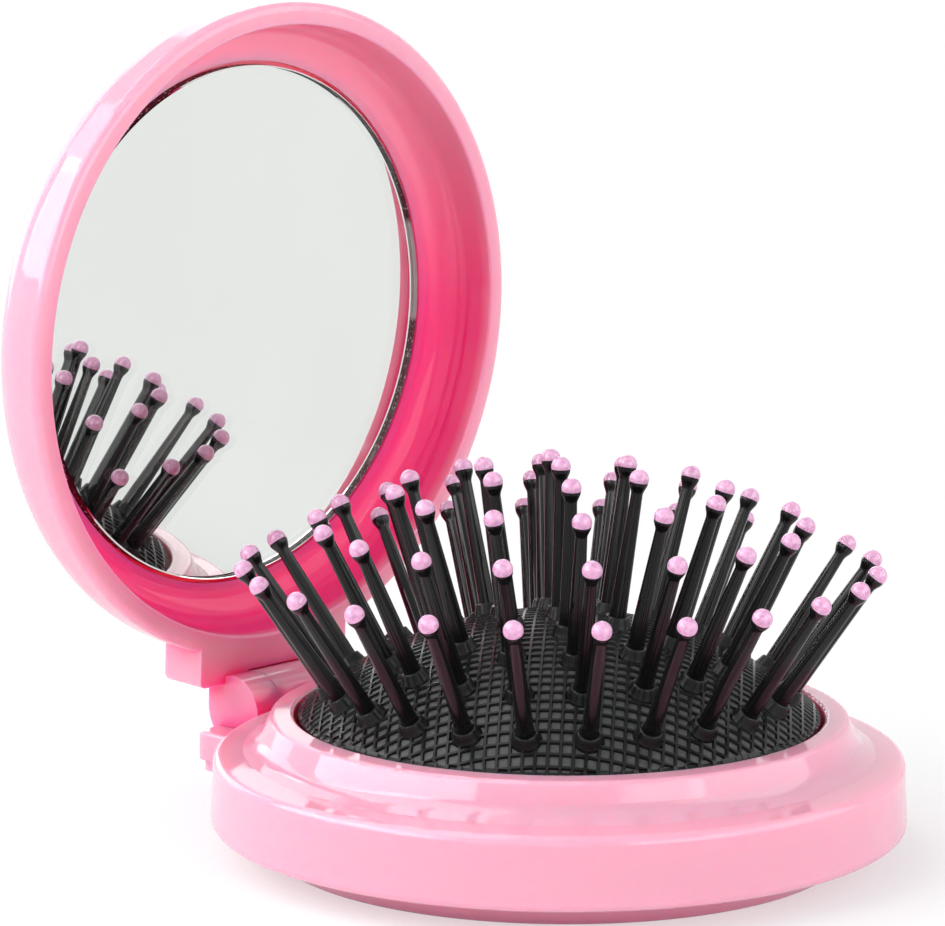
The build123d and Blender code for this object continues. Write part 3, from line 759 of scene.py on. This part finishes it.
# Pale paper floor, white all round
studio = {
    "floorSize": 4.0, "floorColour": "#F2F2F3", "fibreColour": "#EEEEEF", "fibreSize": 0.8,
    "whiteFrom": 0.04, "whiteTo": 0.13, "whiteNear": 0.5, "middleHeight": 0.03,
    "worldColour": "#F8F8F8", "worldStrength": 0.48,
}
lamps = [
    # name, turn round Z from +X, rise, distance, width, height, brightness; all aim at the object's middle
    ("windowLeft", -122, 28, 0.62, 0.80, 0.32, 3.7),
    ("windowRight", 36, 26, 0.62, 0.60, 0.50, 1.6),
    ("frontLow", -74, 16, 0.62, 0.70, 0.28, 0.7),
    ("frontRight", -8, 18, 0.62, 0.40, 0.36, 2.4),
    ("sideWindow", -140, 57, 0.62, 0.60, 0.50, 1.9),
    ("backPaper", 157, 18, 0.62, 0.70, 0.40, 1.5),
]


# The camera, gloss and glass see a white room; the diffuse light stays as the lamps give it
def seesWhite(tree, rays):
    total = rays.outputs["Is Camera Ray"]
    for kind in ("Is Transmission Ray", "Is Glossy Ray"):
        total = addNode(tree, "ShaderNodeMath", {"operation": "MAXIMUM"}, {
            0: total, 1: rays.outputs[kind]}).outputs[0]
    return total


# Puts a lamp on a sphere round the object's middle, facing it
def hangLamp(holder, turn, rise, reach):
    turn, rise = math.radians(turn), math.radians(rise)
    outward = Vector((math.cos(turn) * math.cos(rise), math.sin(turn) * math.cos(rise), math.sin(rise)))
    holder.location = outward * reach + Vector((0, 0, studio["middleHeight"]))
    holder.rotation_euler = outward.to_track_quat("Z", "Y").to_euler()


floorMesh = bpy.data.meshes.new("floor")
half = studio["floorSize"] / 2
floorCorners = [(-half, -half, 0), (half, -half, 0), (half, half, 0), (-half, half, 0)]
floorMesh.from_pydata(floorCorners, [], [(0, 1, 2, 3)])
floorMaterial, tree = startMaterial("Studio paper")
place = addNode(tree, "ShaderNodeTexCoord").outputs["Object"]
fibres = addNode(tree, "ShaderNodeTexNoise", {
    "Scale": perSize(studio["fibreSize"]), "Detail": 3.0}, {"Vector": place})
paper = addNode(tree, "ShaderNodeMix", {
    "data_type": "RGBA", 6: toLinear(studio["floorColour"]), 7: toLinear(studio["fibreColour"]),
}, {0: fibres.outputs["Fac"]})
matt = addNode(tree, "ShaderNodeBsdfDiffuse", None, {"Color": paper.outputs[2]})
glow = addNode(tree, "ShaderNodeEmission", {"Color": toLinear("#FFFFFF"), "Strength": 1.0})
away = addNode(tree, "ShaderNodeVectorMath", {"operation": "LENGTH"}, {0: place})
fade = addNode(tree, "ShaderNodeMapRange", {
    "From Min": studio["whiteFrom"], "From Max": studio["whiteTo"], "To Min": studio["whiteNear"],
}, {"Value": away.outputs["Value"]})
rays = addNode(tree, "ShaderNodeLightPath")
seen = seesWhite(tree, rays)
share = addNode(tree, "ShaderNodeMath", {"operation": "MULTIPLY"}, {0: seen, 1: fade.outputs[0]})
floorShader = addNode(tree, "ShaderNodeMixShader", None, {
    0: share.outputs[0], 1: matt.outputs[0], 2: glow.outputs[0]})
addNode(tree, "ShaderNodeOutputMaterial", None, {"Surface": floorShader.outputs[0]})
floorMesh.materials.append(floorMaterial)
floor = bpy.data.objects.new("floor", floorMesh)
bpy.context.scene.collection.objects.link(floor)

world = bpy.data.worlds.new("Studio")
bpy.context.scene.world = world
world.use_nodes = True
world.node_tree.nodes.clear()
tree = world.node_tree
rays = addNode(tree, "ShaderNodeLightPath")
seen = seesWhite(tree, rays)
soft = addNode(tree, "ShaderNodeBackground", {
    "Color": toLinear(studio["worldColour"]), "Strength": studio["worldStrength"]})
white = addNode(tree, "ShaderNodeBackground", {"Color": toLinear("#FFFFFF"), "Strength": 1.0})
both = addNode(tree, "ShaderNodeMixShader", None, {
    0: seen, 1: soft.outputs[0], 2: white.outputs[0]})
addNode(tree, "ShaderNodeOutputWorld", None, {"Surface": both.outputs[0]})

for name, turn, rise, reach, width, height, brightness in lamps:
    lamp = bpy.data.lights.new(name, "AREA")
    lamp.shape = "RECTANGLE"
    lamp.size, lamp.size_y = width, height
    lamp.energy = brightness * math.pi * width * height
    holder = bpy.data.objects.new(name, lamp)
    hangLamp(holder, turn, rise, reach)
    bpy.context.scene.collection.objects.link(holder)

# Camera placed by the circles of the case, lid and mirror in the photograph
view = {
    "azimuth": 42.61518, "elevation": 10.06201, "roll": 0.22283, "distance": 429.3617,
    "aimHeight": 20.0, "slideRight": -8.36762, "slideUp": 17.04472, "lens": 171.80, "sensor": 36.0,
    "nearest": 0.01, "farthest": 20,
}
azimuth, elevation, roll = (math.radians(view[key]) for key in ("azimuth", "elevation", "roll"))
back = Vector((math.sin(azimuth) * math.cos(elevation),
               -math.cos(azimuth) * math.cos(elevation), math.sin(elevation)))
right = Vector((math.cos(azimuth), math.sin(azimuth), 0))
up = back.cross(right)
eye = (Vector((0, 0, view["aimHeight"])) + back * view["distance"]
       + right * view["slideRight"] + up * view["slideUp"]) * mm
cameraX = right * math.cos(roll) + up * math.sin(roll)
cameraY = up * math.cos(roll) - right * math.sin(roll)
cameraData = bpy.data.cameras.new("camera")
cameraData.lens = view["lens"]
cameraData.sensor_width = view["sensor"]
cameraData.clip_start, cameraData.clip_end = view["nearest"], view["farthest"]
camera = bpy.data.objects.new("camera", cameraData)
camera.matrix_world = Matrix.Translation(eye) @ Matrix((cameraX, cameraY, back)).transposed().to_4x4()
bpy.context.scene.collection.objects.link(camera)
bpy.context.scene.camera = camera
bpy.context.scene.view_settings.view_transform = "Standard"
print("studio and camera ready")
